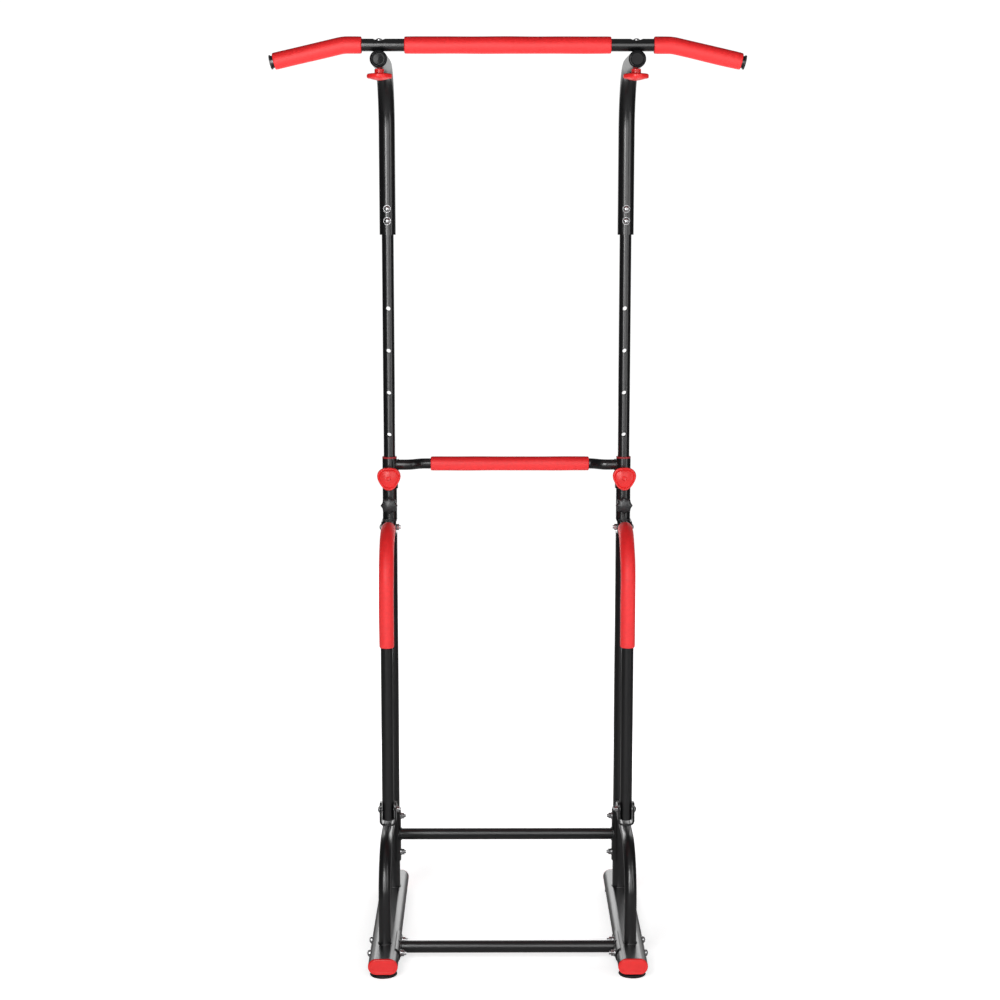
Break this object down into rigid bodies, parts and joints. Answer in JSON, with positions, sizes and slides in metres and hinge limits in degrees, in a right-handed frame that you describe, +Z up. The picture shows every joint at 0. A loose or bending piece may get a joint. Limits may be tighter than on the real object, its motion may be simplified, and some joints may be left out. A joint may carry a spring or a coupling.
{
  "type": "power tower",
  "caption": "Free-standing power tower with padded dip arms, a padded mid bar and a pull-up bar on a mast that slides up and down.",
  "frame": {"origin": "on the floor at the middle of the base's length and width", "axes": "+Z up, +X the user's right hand, -Y towards the open front where the user steps in"},
  "size_m": [1.0416, 0.6, 2.0758],
  "materials": {
    "black_paint": "satin",
    "red_foam": "matt",
    "red_plastic": "satin",
    "black_plastic": "satin",
    "zinc_steel": "satin",
    "foot_rubber": "matt"
  },
  "bodies": {
    "frame": {"arm_bolts": "zinc_steel", "arm_bracket_left": "black_paint", "arm_bracket_right": "black_paint", "base_bolts": "zinc_steel", "base_tube_left": "black_paint", "base_tube_right": "black_paint", "crossbar_bolts": "zinc_steel", "dip_arm_left": "black_paint", "dip_arm_right": "black_paint", "dip_foam_left": "red_foam", "dip_foam_right": "red_foam", "end_cap_front_left": "red_plastic", "end_cap_front_right": "red_plastic", "end_cap_rear_left": "red_plastic", "end_cap_rear_right": "red_plastic", "frame_nuts": "zinc_steel", "lower_crossbar": "black_paint", "lower_strut_left": "black_paint", "lower_strut_right": "black_paint", "mid_bar": "black_paint", "mid_bar_foam": "red_foam", "pin_housing_left": "black_paint", "pin_housing_right": "black_paint", "post_bushing_left": "red_plastic", "post_bushing_right": "red_plastic", "strut_bracket_left": "black_paint", "strut_bracket_right": "black_paint", "suction_foot_front_left": "foot_rubber", "suction_foot_front_right": "foot_rubber", "suction_foot_rear_left": "foot_rubber", "suction_foot_rear_right": "foot_rubber", "upper_crossbar": "black_paint", "upright_left": "black_paint", "upright_right": "black_paint"},
    "mast": {"pull_up_bar": "black_paint", "bar_bolts": "zinc_steel", "mast_bolts": "zinc_steel", "mast_nuts": "zinc_steel", "bar_foam_centre": "red_foam", "inner_post_left": "black_paint", "inner_post_right": "black_paint", "mast_tube_left": "black_paint", "mast_tube_right": "black_paint", "mast_plug_left": "black_plastic", "mast_plug_right": "black_plastic", "bar_foam_left": "red_foam", "bar_foam_right": "red_foam", "bar_plug_left": "black_plastic", "bar_plug_right": "black_plastic"},
    "pin_left": {"pin_knob_left": "red_plastic", "lock_pin_left": "zinc_steel"},
    "clamp_left": {"clamp_knob_left": "black_plastic", "clamp_stud_left": "zinc_steel"},
    "knob_left": {"top_knob_left": "red_plastic"},
    "pin_right": {"pin_knob_right": "red_plastic", "lock_pin_right": "zinc_steel"},
    "clamp_right": {"clamp_knob_right": "black_plastic", "clamp_stud_right": "zinc_steel"},
    "knob_right": {"top_knob_right": "red_plastic"}
  },
  "joints": [
    {"name": "mast_slide", "type": "slide", "parent": "frame", "child": "mast", "axis": [0, 0, 1], "range_m": [-0.4, 0]},
    {"name": "pin_pull_left", "type": "slide", "parent": "frame", "child": "pin_left", "axis": [0, -1, 0], "range_m": [0, 0.012], "stiffness_N_per_m": 800},
    {"name": "clamp_turn_left", "type": "hinge", "parent": "frame", "child": "clamp_left", "pos_m": [-0.28, 0.14, 1.005], "axis": [0, -1, 0], "continuous": true},
    {"name": "knob_turn_left", "type": "hinge", "parent": "mast", "child": "knob_left", "pos_m": [-0.28, -0.11, 1.99], "axis": [0, 0, 1], "continuous": true},
    {"name": "pin_pull_right", "type": "slide", "parent": "frame", "child": "pin_right", "axis": [0, -1, 0], "range_m": [0, 0.012], "stiffness_N_per_m": 800},
    {"name": "clamp_turn_right", "type": "hinge", "parent": "frame", "child": "clamp_right", "pos_m": [0.28, 0.14, 1.005], "axis": [0, -1, 0], "continuous": true},
    {"name": "knob_turn_right", "type": "hinge", "parent": "mast", "child": "knob_right", "pos_m": [0.28, -0.11, 1.99], "axis": [0, 0, 1], "continuous": true}
  ]
}
